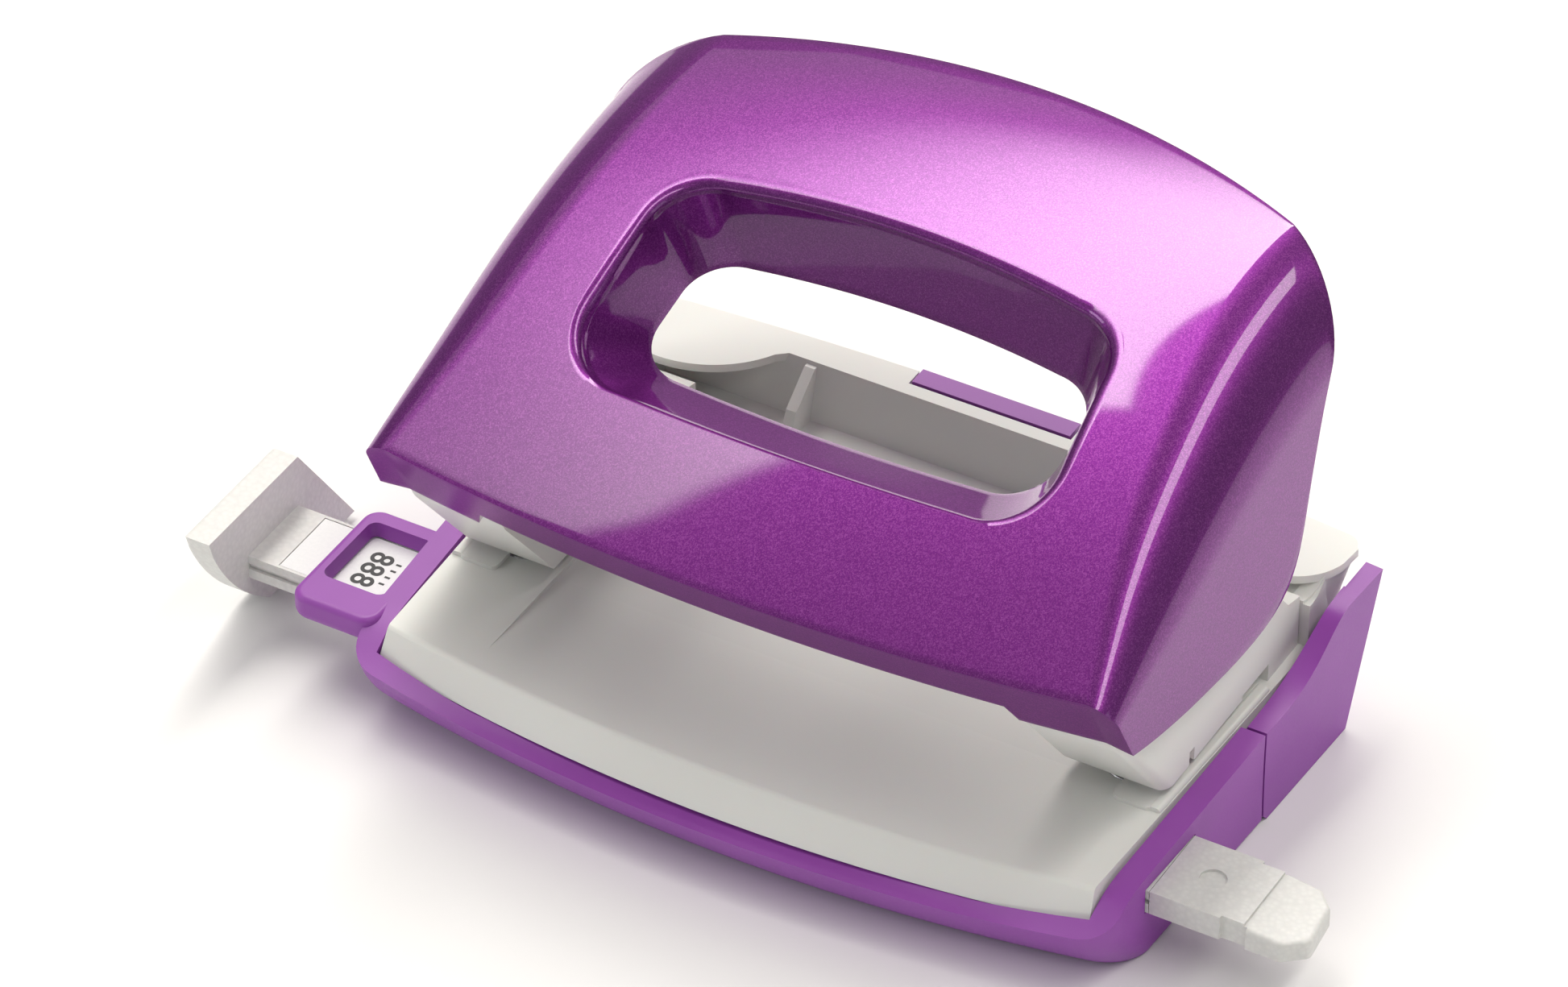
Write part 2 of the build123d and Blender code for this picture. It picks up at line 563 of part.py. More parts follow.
STOP_TOP_Z = 17.0
with BuildPart() as end_stop:
    with BuildSketch(Plane.YZ.offset(STOP_X)):
        with BuildLine():
            Polyline((-24.4, 14.4), (-25.2, STOP_TOP_Z), (-6.2, STOP_TOP_Z), (5.2, 0.9), (-13.4, 0.9))
            ThreePointArc((-13.4, 0.9), (-20.4, 7.6), (-24.4, 14.4))
        make_face()
    extrude(amount=-3.8)
    fillet(end_stop.faces().sort_by(Axis.X)[0].edges(), 0.9)
save(end_stop.part, "end_stop")

NECK_X, STEP_X = (58.8, 62.0), 61.6
with BuildPart() as guide_tab:
    with BuildSketch(Plane.XY.offset(BAR_Z1 - BAR_T)):
        with BuildLine():
            Polyline((50.1, BAR_Y0), (NECK_X[0], BAR_Y0), (NECK_X[0], BAR_Y0 + 0.45),
                     (NECK_X[1], BAR_Y0 + 0.45),
                     (NECK_X[1], BAR_Y0), (TAB_X - 2.6, BAR_Y0), (TAB_X, BAR_Y0 + 2.2), (TAB_X - 0.6,
                                                                                         BAR_Y1 - 2.6),
                     (TAB_X - 2.8, BAR_Y1 - 0.3), (NECK_X[1], BAR_Y1), (NECK_X[1], BAR_Y1 - 0.45),
                     (NECK_X[0], BAR_Y1 - 0.45), (NECK_X[0], BAR_Y1), (50.1, BAR_Y1), close=True)
        make_face()
    extrude(amount=BAR_T)
    end_corners = guide_tab.edges().filter_by(Axis.Z).filter_by(lambda e: e.center().X > TAB_X - 3)
    fillet(end_corners, 1.0)
    # lower outer half beyond a step
    with BuildSketch(Plane.XZ.offset(-BAR_Y0 + 1)):
        with BuildLine():
            Polyline((STEP_X, BAR_Z1 + 1), (STEP_X, BAR_Z1 - 0.35), (TAB_X + 1, BAR_Z1 - 0.8),
                     (TAB_X + 1, BAR_Z1 + 1), close=True)
        make_face()
    extrude(amount=-BAR_W - 2, mode=Mode.SUBTRACT)
    tip_edges = guide_tab.edges().filter_by(lambda e: e.center().X > TAB_X - 2.9 and e.center().Z > BAR_Z1 - 1.2)
    fillet(tip_edges.filter_by(lambda e: abs(e.tangent_at(0.5).Z) < 0.5), 0.6)
    with Locations(Location((55.2, BAR_MID, BAR_Z1))):
        Hole(1.6, depth=0.35)
save(guide_tab.part, "guide_tab")

with BuildPart() as guide_detent:
    with BuildSketch(Plane.XZ.offset(-BAR_MID + 2.5)):
        with BuildLine():
            Polyline((-44.8, 2.0), (-44.8, 1.6), (-36, 1.6), (-27, 5.6), (-24, 5.0), (-24, 5.3),
                     (-27.1, 6.1),
                     (-36.2, 2.0), (-44.8, 2.0))
        make_face()
    extrude(amount=-5)
save(guide_detent.part, "guide_detent")

# ---- punch pins, clips and return springs ------------------------------------
for s, side in ((-1, "left"), (1, "right")):
    with BuildPart() as pin:
        with BuildSketch(Plane.XZ):
            with BuildLine():
                Polyline((0, PIN_TIP_Z + 0.9), (0.4, PIN_TIP_Z + 0.9), (PIN_R, PIN_TIP_Z),
                         (PIN_R, CLIP_Z - 0.3), (PIN_R - 0.5, CLIP_Z - 0.3),
                         (PIN_R - 0.5, CLIP_Z + 0.7), (PIN_R, CLIP_Z + 0.7), (PIN_R, PIN_TOP_Z - 1.3))
                ThreePointArc((PIN_R, PIN_TOP_Z - 1.3), (PIN_R * 0.7, PIN_TOP_Z - 0.4), (0.6, PIN_TOP_Z))
                Polyline((0.6, PIN_TOP_Z), (0, PIN_TOP_Z), (0, PIN_TIP_Z + 0.9))
            make_face()
        revolve(axis=Axis.Z)
    pin.part.label = f"punch_{side}"
    save(Pos(s * PIN_X, 0, 0) * pin.part, f"punch_{side}")
    with BuildPart() as clip:
        with BuildSketch(Plane.XY.offset(CLIP_Z)):
            Circle(3.15)
            Circle(PIN_R - 0.45, mode=Mode.SUBTRACT)
            with Locations((0, -3)):
                Rectangle(2.6, 4, mode=Mode.SUBTRACT)
        extrude(amount=0.6)
    save(Pos(s * PIN_X, 0, 0) * clip.part, f"clip_{side}")
    wire_r = 0.32
    low, high = SPRING_SEAT_Z + wire_r + 0.03, CLIP_Z - wire_r - 0.03
    with BuildPart() as spring:
        with BuildLine():
            coil = Helix(pitch=(high - low) / 4.0, height=high - low, radius=PIN_R + 0.25 + wire_r,
                         center=(0, 0, low))
        with BuildSketch(Plane(origin=coil @ 0, z_dir=coil % 0)):
            Circle(wire_r)
        sweep(path=coil, is_frenet=True)
    save(Pos(s * PIN_X, 0, 0) * spring.part, f"spring_{side}")

# ---- steel levers: straddle the axle inside each head and press the pin ------
PAD_Z = PIN_TOP_Z + 0.15
LEVER_T = 1.0
WEB_T = 1.6
LEVER_X = (35.4, 44.3)
BOSS_Y = -6.6
for s, side in ((-1, "left"), (1, "right")):
    with BuildPart() as lever:
        for x in (LEVER_X[0], LEVER_X[1] - LEVER_T):
            with BuildSketch(Plane.YZ.offset(s * x)):
                with BuildLine():
                    r = 2.7
                    ThreePointArc((AXLE_Y - r, AXLE_Z), (AXLE_Y, AXLE_Z - r), (AXLE_Y + r, AXLE_Z))
                    Polyline((AXLE_Y + r, AXLE_Z), (-6.0, 36.2), (4.5, PAD_Z - 1.2), (4.5, PAD_Z + WEB_T),
                             (-12.5, PAD_Z + WEB_T), (AXLE_Y + 0.1, 35.0), (AXLE_Y - r, AXLE_Z))
                make_face()
                with Locations((AXLE_Y, AXLE_Z)):
                    Circle(AXLE_R + RUN_FIT, mode=Mode.SUBTRACT)
            extrude(amount=s * LEVER_T)
        with BuildSketch(Plane.XY.offset(PAD_Z)):
            with Locations((s * (LEVER_X[0] + LEVER_X[1]) / 2, (4.5 - 12.5) / 2)):
                Rectangle(LEVER_X[1] - LEVER_X[0], 17)
            with Locations((s * PIN_X, BOSS_Y)):
                Circle(1.3, mode=Mode.SUBTRACT)
        extrude(amount=WEB_T)
    save(lever.part, f"lever_{side}")

with BuildPart() as lever_screws:
    with BuildSketch(Plane.XY.offset(PAD_Z - 1.4)):
        with Locations((PIN_X, BOSS_Y), (-PIN_X, BOSS_Y)):
            Circle(2.2)
            Rectangle(2.6, 0.6, mode=Mode.SUBTRACT)
            Rectangle(0.6, 2.6, mode=Mode.SUBTRACT)
    extrude(amount=0.7)
    with BuildSketch(Plane.XY.offset(PAD_Z - 0.7)):
        with Locations((PIN_X, BOSS_Y), (-PIN_X, BOSS_Y)):
            Circle(2.2)
    extrude(amount=0.7)
    with BuildSketch(Plane.XY.offset(PAD_Z)):
        with Locations((PIN_X, BOSS_Y), (-PIN_X, BOSS_Y)):
            Circle(1.1)
    extrude(amount=WEB_T + 3.0)
save(lever_screws.part, "lever_screws")

# ---- handle shell ------------------------------------------------------------
SHELL_T = 1.8
FLANGE_T = 1.3
CHIN_TOP = (-23.7, 38.2)        # panel's lower edge at the ends, side view
CHIN_DIR = (0.4777, -0.8785)    # the skirt under it runs down and back
# stations along Y: top height on the centre line, crown sag at the sides, fold radius
STATIONS = [(-31, 35.0, 1.0, 5.5), (-20, 42.8, 1.2, 6.0), (-9, 49.6, 1.5, 7.0), (3, 55.8, 2.1, 8.5),
            (15, 60.2, 2.7, 9.5), (27, 62.6, 3.2, 10.0), (38, 63.0, 3.6, 10.0), (50, 61.6, 4.0, 10.0)]
SKIRT_Z = 20.0


def half_width(z):
    return 48.7 - 0.05 * (z - 24.0)


def shell_section(y, top, sag, fold, inset_x, inset_z, low):
    """Arched section across the handle: flat bottom, leaning sides, rounded folds, crowned top."""
    side_top = top - sag - fold
    xs, xb = half_width(side_top) - inset_x, half_width(low) - inset_x
    r = max(fold - inset_x, 1.0)
    xt = xs - r
    zt = top - sag - inset_z
    bend = 0.7071
    with BuildSketch(Plane.XZ.offset(-y)) as section:
        with BuildLine():
            Line((-xb, low), (xb, low))
            Line((xb, low), (xs, zt - r))
            ThreePointArc((xs, zt - r), (xt + r * bend, zt - r + r * bend), (xt, zt))
            ThreePointArc((xt, zt), (0, top - inset_z), (-xt, zt))
            ThreePointArc((-xt, zt), (-xt - r * bend, zt - r + r * bend), (-xs, zt - r))
            Line((-xs, zt - r), (-xb, low))
        make_face()
    return section.sketch


outer_form = loft([shell_section(*st, 0, 0, SKIRT_Z).face() for st in STATIONS])
inner_form = loft([shell_section(*st, FLANGE_T, SHELL_T, SKIRT_Z - 1).face() for st in STATIONS])


def behind_chin(offset, bow=2.8):
    """Everything behind the bowed skirt surface, moved back by offset."""
    plane = Plane(origin=(0, CHIN_TOP[0], CHIN_TOP[1]), x_dir=(1, 0, 0),
                  z_dir=(0, -CHIN_DIR[0], -CHIN_DIR[1]))
    with BuildPart(mode=Mode.PRIVATE) as block:
        with BuildSketch(plane):
            with BuildLine():
                ThreePointArc((-49, offset), (0, offset - bow), (49, offset))
                Polyline((49, offset), (49, 90), (-49, 90), (-49, offset))
            make_face()
        extrude(amount=60, both=True)
    return block.part


def in_front_of_back(offset):
    """Everything in front of the bowed rear edge, moved forward by offset."""
    with BuildPart(mode=Mode.PRIVATE) as block:
        with BuildSketch(Plane.XY) as plan:
            with BuildLine():
                ThreePointArc((49, 38.5 - offset), (0, 46.5 - offset), (-49, 38.5 - offset))
                Polyline((-49, 38.5 - offset), (-49, -60), (49, -60), (49, 38.5 - offset))
            make_face()
            fillet(plan.vertices().sort_by(Axis.Y)[-2:], 9 - offset)
        extrude(amount=80)
    return block.part


# side view of what is cut away under the handle: chin foot, flange, rear edge
CHIN_FOOT_MID, CHIN_FOOT_END = 32.9, 30.3
EDGE_X = 34.0
with BuildPart() as below:
    with BuildSketch(Plane.YZ.offset(-60)):
        with BuildLine():
            Polyline((-60, 10), (-60, CHIN_FOOT_END), (-19.3, CHIN_FOOT_END))
            Spline((-19.3, CHIN_FOOT_END), (-11.3, 28.4), (-1.5, 26.8), (8.2, 25.9), (15.2, 26.5),
                   (19.4, 28.8),
                   (22.9, 35.2), (25.2, 42.1), (28.8, 49.4), (36.0, 53.5), (46.0, 54.5), (60, 54.5),
                   tangents=((1, -0.25), (1, 0)))
            Polyline((60, 54.5), (60, 10), (-60, 10))
        make_face()
    extrude(amount=120)
    with BuildSketch(Plane.YZ.offset(-EDGE_X)):
        with BuildLine():
            Polyline((-60, 20), (-60, CHIN_FOOT_MID), (-18.0, CHIN_FOOT_MID), (-16.0, 20), close=True)
        make_face()
    extrude(amount=2 * EDGE_X)

# finger window: rim follows the panel, walls draw in towards a lower plane
RIM_SLOPE = atan2(11.9, 25.6)
INNER_SLOPE = atan2(5.0, 18.2)


def window_outline(plane, x_low, x_high, y_low, y_high, arch_low, arch_high, r):
    with BuildSketch(plane, mode=Mode.PRIVATE) as outline:
        with BuildLine():
            ThreePointArc((-x_low, y_low), (0, y_low - arch_low), (x_low, y_low))
            Line((x_low, y_low), (x_high, y_high))
            ThreePointArc((x_high, y_high), (0, y_high + arch_high), (-x_high, y_high))
            Line((-x_high, y_high), (-x_low, y_low))
        make_face()
        fillet(outline.vertices(), r)
    return outline.sketch


rim_plane = Plane(origin=(0, 3.3, 57.0), x_dir=(1, 0, 0), z_dir=(0, -sin(RIM_SLOPE), cos(RIM_SLOPE)))
inner_plane = Plane(origin=(0, 8.5, 46.0), x_dir=(1, 0, 0), z_dir=(0, -sin(INNER_SLOPE), cos(INNER_SLOPE)))


def funnel(grow):
    top = window_outline(rim_plane, 29.9 + grow, 28.9 + grow, -13.9 - grow, 12.0 + grow, 1.4, 3.0,
                         6.5 + grow)
    low = window_outline(inner_plane, 25.6 + grow, 25.4 + grow, -9.2 - grow, 7.0 + grow, 1.0, 2.2,
                         5.5 + grow)
    return loft([top.face(), low.face()])


handle_outer = (outer_form & behind_chin(0) & in_front_of_back(0)) - below.part
handle_inner = inner_form & behind_chin(1.5) & in_front_of_back(SHELL_T)
walls = funnel(1.6) & outer_form
# screw bosses over the levers
boss_blank = Cylinder(3.0, 10, align=(Align.CENTER, Align.CENTER, Align.MIN))
bosses = [Pos(s * PIN_X, BOSS_Y, PAD_Z + WEB_T) * boss_blank & handle_outer for s in (-1, 1)]
with BuildPart() as handle_shell:
    add(handle_outer)
    add(handle_inner, mode=Mode.SUBTRACT)
    add(walls)
    add(funnel(0), mode=Mode.SUBTRACT)
    add(bosses)
    with Locations(*[Location((s * PIN_X, BOSS_Y, PAD_Z + WEB_T), (180, 0, 0)) for s in (-1, 1)]):
        Hole(1.1, depth=3.5)
save(handle_shell.part, "handle_shell")
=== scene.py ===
from math import cos, hypot, pi, radians, sin, tan

import bmesh
import bpy
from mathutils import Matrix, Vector


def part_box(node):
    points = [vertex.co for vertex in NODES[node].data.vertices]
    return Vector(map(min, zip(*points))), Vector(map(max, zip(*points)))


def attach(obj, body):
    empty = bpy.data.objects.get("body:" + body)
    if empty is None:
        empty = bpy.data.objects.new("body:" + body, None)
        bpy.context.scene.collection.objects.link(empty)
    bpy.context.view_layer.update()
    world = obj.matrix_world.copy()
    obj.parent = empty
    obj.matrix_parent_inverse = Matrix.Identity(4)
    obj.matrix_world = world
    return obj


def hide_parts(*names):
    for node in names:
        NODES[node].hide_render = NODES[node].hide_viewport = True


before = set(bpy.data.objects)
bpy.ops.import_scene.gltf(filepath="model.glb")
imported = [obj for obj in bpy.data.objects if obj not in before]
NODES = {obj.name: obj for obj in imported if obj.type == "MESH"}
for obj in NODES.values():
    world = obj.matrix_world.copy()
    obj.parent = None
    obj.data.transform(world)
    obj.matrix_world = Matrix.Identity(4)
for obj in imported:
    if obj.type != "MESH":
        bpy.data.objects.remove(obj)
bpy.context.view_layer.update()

MM = 0.001

# ---- camera ------------------------------------------------------------------
CAM_AZIMUTH, CAM_ELEVATION = 29.767, 38.688
CAM_TARGET = Vector((25.13, -55.34, 82.87)) * MM
CAM_DISTANCE = 801.25 * MM
CAM_LENS = 178.98


def make_camera():
    data = bpy.data.cameras.new("camera")
    data.lens = CAM_LENS
    data.sensor_width = 36
    data.clip_start, data.clip_end = 0.01, 50
    camera = bpy.data.objects.new("camera", data)
    bpy.context.scene.collection.objects.link(camera)
    a, e = radians(CAM_AZIMUTH), radians(CAM_ELEVATION)
    back = Vector((sin(a) * cos(e), -cos(a) * cos(e), sin(e)))
    camera.location = CAM_TARGET + back * CAM_DISTANCE
    camera.rotation_mode = "QUATERNION"
    camera.rotation_quaternion = (-back).to_track_quat("-Z", "Y")
    bpy.context.scene.camera = camera


# ---- light and floor ---------------------------------------------------------
# The level boxes are drawn in plan per metre of ceiling height, as low and high corners.
CEILING = 1.4
LAMP_RISE = 0.05         # the lamps hang this far above the ceiling plane
EDGE_SOFT = 0.012        # width of the soft rim at a masked edge, per metre of height
FADED_SHARE = 0.05       # strength that is left where a light has faded out
WARM = (1.0, 0.965, 0.90)
MAIN_PLAN, MAIN_WATTS = ((-1.25, -0.6), (-0.23, 2.2)), 190.0
MAIN_EDGE, MAIN_FADE = ((-0.25, 0.05), (-0.871, 0.492)), (-0.74, -0.24)
FOLD_PLAN, FOLD_WATTS = ((0.38, -0.7), (0.62, 1.1)), 16.0
LIGHT_AIM = Vector((0, 0, 0.03))
SIDE_DISTANCE = 1.2
WORLD_STRENGTH = 0.26
FLOOR_Z = -0.0001        # a hair below the feet, so that the two faces do not coincide
FLOOR_HALF = 3.0


def area_light(name, direction, size_x, size_y, watts):
    """A soft box that looks at the middle of the object from that direction."""
    data = bpy.data.lights.new(name, "AREA")
    data.shape = "RECTANGLE"
    data.size, data.size_y = size_x, size_y
    data.energy = watts
    lamp = bpy.data.objects.new(name, data)
    bpy.context.scene.collection.objects.link(lamp)
    way = Vector(direction).normalized()
    lamp.location = LIGHT_AIM + way * SIDE_DISTANCE
    lamp.rotation_mode = "QUATERNION"
    lamp.rotation_quaternion = (-way).to_track_quat("-Z", "Y")


def ceiling_box(name, plan, watts):
    """A level soft box under the ceiling; returns its light."""
    low, high = plan
    data = bpy.data.lights.new(name, "AREA")
    data.shape = "RECTANGLE"
    data.size, data.size_y = ((b - a) * CEILING for a, b in zip(low, high))
    data.energy = watts
    data.color = WARM
    lamp = bpy.data.objects.new(name, data)
    bpy.context.scene.collection.objects.link(lamp)
    middle = [(a + b) / 2 * CEILING for a, b in zip(low, high)]
    lamp.location = (*middle, CEILING + LAMP_RISE)
    return data


def mask_light(data, edge, fade):
    """Masks a level box beyond a line and fades it along the plan's X.

    edge: a point and an inward direction in the plan; light beyond that line is masked off.
    fade: the plan x where it has faded out, and the x where it is at full strength.
    """
    data.use_nodes = True
    tree = data.node_tree
    where = tree.nodes.new("ShaderNodeNewGeometry").outputs["Position"]
    (ex, ey), (nx, ny) = edge
    across = tree.nodes.new("ShaderNodeVectorMath")
    across.operation = "DOT_PRODUCT"
    across.inputs[1].default_value = (nx, ny, 0)
    link(tree, where, across.inputs[0])
    start = (ex * nx + ey * ny) * CEILING
    mask = tree.nodes.new("ShaderNodeMapRange")
    mask.inputs["From Min"].default_value = start
    mask.inputs["From Max"].default_value = start + EDGE_SOFT * CEILING
    link(tree, across.outputs["Value"], mask.inputs["Value"])
    axes = tree.nodes.new("ShaderNodeSeparateXYZ")
    link(tree, where, axes.inputs[0])
    falling = tree.nodes.new("ShaderNodeMapRange")
    falling.interpolation_type = "SMOOTHSTEP"
    falling.inputs["From Min"].default_value = fade[0] * CEILING
    falling.inputs["From Max"].default_value = fade[1] * CEILING
    falling.inputs["To Min"].default_value = FADED_SHARE
    link(tree, axes.outputs["X"], falling.inputs["Value"])
    both = tree.nodes.new("ShaderNodeMath")
    both.operation = "MULTIPLY"
    link(tree, mask.outputs["Result"], both.inputs[0])
    link(tree, falling.outputs["Result"], both.inputs[1])
    link(tree, both.outputs["Value"], tree.nodes["Emission"].inputs["Strength"])


def make_lights():
    mask_light(ceiling_box("main_box", MAIN_PLAN, MAIN_WATTS), MAIN_EDGE, MAIN_FADE)
    ceiling_box("fold_strip", FOLD_PLAN, FOLD_WATTS)
    area_light("right_box", (0.95, -0.1, 0.35), 0.5, 0.5, 0.7)
    area_light("front_left_box", (-0.8, -0.7, 0.5), 0.5, 0.4, 2.0)
    world = bpy.data.worlds.new("studio")
    world.use_nodes = True
    world.node_tree.nodes["Background"].inputs[0].default_value = (1.0, 1.0, 1.0, 1)
    world.node_tree.nodes["Background"].inputs[1].default_value = WORLD_STRENGTH
    bpy.context.scene.world = world
    bpy.context.scene.view_settings.view_transform = "Standard"


# ---- material helpers --------------------------------------------------------
def new_material(name, color, roughness, metallic=0.0, coat=0.0, coat_roughness=0.03, subsurface=0.0):
    material = bpy.data.materials.new(name)
    material.use_nodes = True
    tree = material.node_tree
    shader = tree.nodes["Principled BSDF"]
    shader.inputs["Base Color"].default_value = (*color, 1)
    shader.inputs["Roughness"].default_value = roughness
    shader.inputs["Metallic"].default_value = metallic
    shader.inputs["Coat Weight"].default_value = coat
    shader.inputs["Coat Roughness"].default_value = coat_roughness
    shader.inputs["Subsurface Weight"].default_value = subsurface
    shader.inputs["Subsurface Scale"].default_value = 0.0015
    return material, tree, shader


def link(tree, source, target):
    tree.links.new(source, target)


def place(tree):
    """Object coordinates, in metres."""
    return tree.nodes.new("ShaderNodeTexCoord").outputs["Object"]


def noise(tree, scale, detail=2.0, roughness=0.5, stretch=None):
    node = tree.nodes.new("ShaderNodeTexNoise")
    node.inputs["Scale"].default_value = scale
    node.inputs["Detail"].default_value = detail
    node.inputs["Roughness"].default_value = roughness
    where = place(tree)
    if stretch:
        mapping = tree.nodes.new("ShaderNodeMapping")
        mapping.inputs["Scale"].default_value = stretch
        link(tree, where, mapping.inputs["Vector"])
        where = mapping.outputs["Vector"]
    link(tree, where, node.inputs["Vector"])
    return node.outputs["Fac"]


def cells(tree, scale):
    node = tree.nodes.new("ShaderNodeTexVoronoi")
    node.inputs["Scale"].default_value = scale
    link(tree, place(tree), node.inputs["Vector"])
    return node


def ramp(tree, value, stops):
    node = tree.nodes.new("ShaderNodeValToRGB")
    bar = node.color_ramp.elements
    bar[0].position, bar[0].color = stops[0][0], (*stops[0][1], 1)
    bar[1].position, bar[1].color = stops[-1][0], (*stops[-1][1], 1)
    for at, color in stops[1:-1]:
        bar.new(at).color = (*color, 1)
    link(tree, value, node.inputs["Fac"])
    return node.outputs["Color"]


def spread(tree, value, low, high):
    """Maps 0..1 to low..high."""
    node = tree.nodes.new("ShaderNodeMapRange")
    node.inputs["To Min"].default_value = low
    node.inputs["To Max"].default_value = high
    link(tree, value, node.inputs["Value"])
    return node.outputs["Result"]


def bump(tree, height, strength, distance, under=None):
    node = tree.nodes.new("ShaderNodeBump")
    node.inputs["Strength"].default_value = strength
    node.inputs["Distance"].default_value = distance
    link(tree, height, node.inputs["Height"])
    if under:
        link(tree, under, node.inputs["Normal"])
    return node.outputs["Normal"]


# ---- materials ---------------------------------------------------------------
def flake_paint(name, coat, coat_roughness):
    """Metallic flake lacquer: flakes about 0.12 mm across under a clear coat."""
    material, tree, shader = new_material(name, (0.2, 0.023, 0.24), 0.34, 0.8, coat, coat_roughness)
    shader.inputs["Coat IOR"].default_value = 1.52
    shader.inputs["Specular IOR Level"].default_value = 0.15
    shader.inputs["Specular Tint"].default_value = (0.80, 0.36, 0.86, 1)
    flakes = cells(tree, 8600)
    tones = [(0.0, (0.110, 0.010, 0.140)), (0.5, (0.158, 0.018, 0.192)), (1.0, (0.265, 0.055, 0.285))]
    tone = ramp(tree, flakes.outputs["Color"], tones)
    link(tree, tone, shader.inputs["Base Color"])
    fine = noise(tree, 9000, 1.0)
    link(tree, spread(tree, fine, 0.26, 0.46), shader.inputs["Roughness"])
    link(tree, bump(tree, flakes.outputs["Distance"], 0.10, 0.00003), shader.inputs["Normal"])
    return material


def satin_purple():
    """Moulded tray plastic with a fine eroded texture and faint flow variation."""
    material, tree, shader = new_material("purple_satin_plastic", (0.3, 0.06, 0.4), 0.38)
    slow = noise(tree, 45, 3.0)
    tone = ramp(tree, slow, [(0.3, (0.270, 0.052, 0.365)), (0.7, (0.320, 0.068, 0.420))])
    link(tree, tone, shader.inputs["Base Color"])
    grain = noise(tree, 3800, 2.0)
    link(tree, spread(tree, grain, 0.34, 0.48), shader.inputs["Roughness"])
    link(tree, bump(tree, grain, 0.10, 0.00006), shader.inputs["Normal"])
    return material


def satin_white():
    """Warm white moulding with a fine spark-eroded surface."""
    material, tree, shader = new_material("white_satin_plastic", (0.78, 0.78, 0.75), 0.36, subsurface=0.08)
    slow = noise(tree, 30, 3.0)
    tone = ramp(tree, slow, [(0.3, (0.755, 0.760, 0.728)), (0.7, (0.790, 0.795, 0.768))])
    link(tree, tone, shader.inputs["Base Color"])
    grain = noise(tree, 4200, 2.0)
    link(tree, spread(tree, grain, 0.32, 0.46), shader.inputs["Roughness"])
    link(tree, bump(tree, grain, 0.08, 0.00005), shader.inputs["Normal"])
    return material


def grained_white():
    """Guide ends: pale plastic with a leather-like grain, cells about 0.7 mm."""
    material, tree, shader = new_material("guide_grained_plastic", (0.72, 0.72, 0.70), 0.42, subsurface=0.05)
    leather = cells(tree, 1500)
    fine = noise(tree, 5200, 2.0)
    tones = [(0.0, (0.735, 0.735, 0.715)), (0.8, (0.665, 0.665, 0.650))]
    tone = ramp(tree, leather.outputs["Distance"], tones)
    link(tree, tone, shader.inputs["Base Color"])
    link(tree, spread(tree, fine, 0.38, 0.52), shader.inputs["Roughness"])
    rough = bump(tree, leather.outputs["Distance"], 0.35, 0.00012)
    link(tree, bump(tree, fine, 0.10, 0.00004, rough), shader.inputs["Normal"])
    return material


def print_film():
    """Printed insert: smooth film with a faint paper tone."""
    material, tree, shader = new_material("format_strip_film", (0.84, 0.85, 0.85), 0.22)
    fibre = noise(tree, 2600, 3.0)
    link(tree, ramp(tree, fibre, [(0.3, (0.82, 0.83, 0.835)), (0.7, (0.86, 0.865, 0.865))]),
         shader.inputs["Base Color"])
    link(tree, spread(tree, fibre, 0.18, 0.30), shader.inputs["Roughness"])
    return material


def ink():
    """Black print with slightly uneven cover."""
    material, tree, shader = new_material("black_print", (0.012, 0.012, 0.014), 0.45)
    cover = noise(tree, 6000, 2.0)
    link(tree, ramp(tree, cover, [(0.3, (0.008, 0.008, 0.010)), (0.8, (0.028, 0.028, 0.032))]),
         shader.inputs["Base Color"])
    link(tree, spread(tree, cover, 0.38, 0.55), shader.inputs["Roughness"])
    return material


def steel(name, color, along, roughness=0.24):
    """Ground steel with fine tool marks across one direction."""
    material, tree, shader = new_material(name, color, roughness, 1.0)
    marks = noise(tree, 900, 3.0, 0.6, along)
    dark = tuple(c * 0.82 for c in color)
    link(tree, ramp(tree, marks, [(0.3, dark), (0.7, color)]), shader.inputs["Base Color"])
    link(tree, spread(tree, marks, roughness - 0.06, roughness + 0.12), shader.inputs["Roughness"])
    link(tree, bump(tree, marks, 0.08, 0.00003), shader.inputs["Normal"])
    return material


def floor_paint():
    material, tree, shader = new_material("pale_floor", (0.86, 0.86, 0.86), 0.6)
    slow = noise(tree, 3, 2.0)
    link(tree, ramp(tree, slow, [(0.3, (0.85, 0.85, 0.85)), (0.7, (0.87, 0.87, 0.87))]),
         shader.inputs["Base Color"])
    return material


def dress(names, material):
    for name in names:
        mesh = NODES[name].data
        mesh.materials.clear()
        mesh.materials.append(material)


# ---- mesh helpers ------------------------------------------------------------
def mesh_object(name, verts, faces, material):
    mesh = bpy.data.meshes.new(name)
    mesh.from_pydata([tuple(v) for v in verts], [], faces)
    mesh.validate()
    mesh.materials.append(material)
    piece = bpy.data.objects.new(name, mesh)
    bpy.context.scene.collection.objects.link(piece)
    return piece


def make_floor(material):
    around = ((-1, -1), (1, -1), (1, 1), (-1, 1))
    corners = [(x * FLOOR_HALF, y * FLOOR_HALF, FLOOR_Z) for x, y in around]
    floor = mesh_object("floor", corners, [(0, 1, 2, 3)], material)


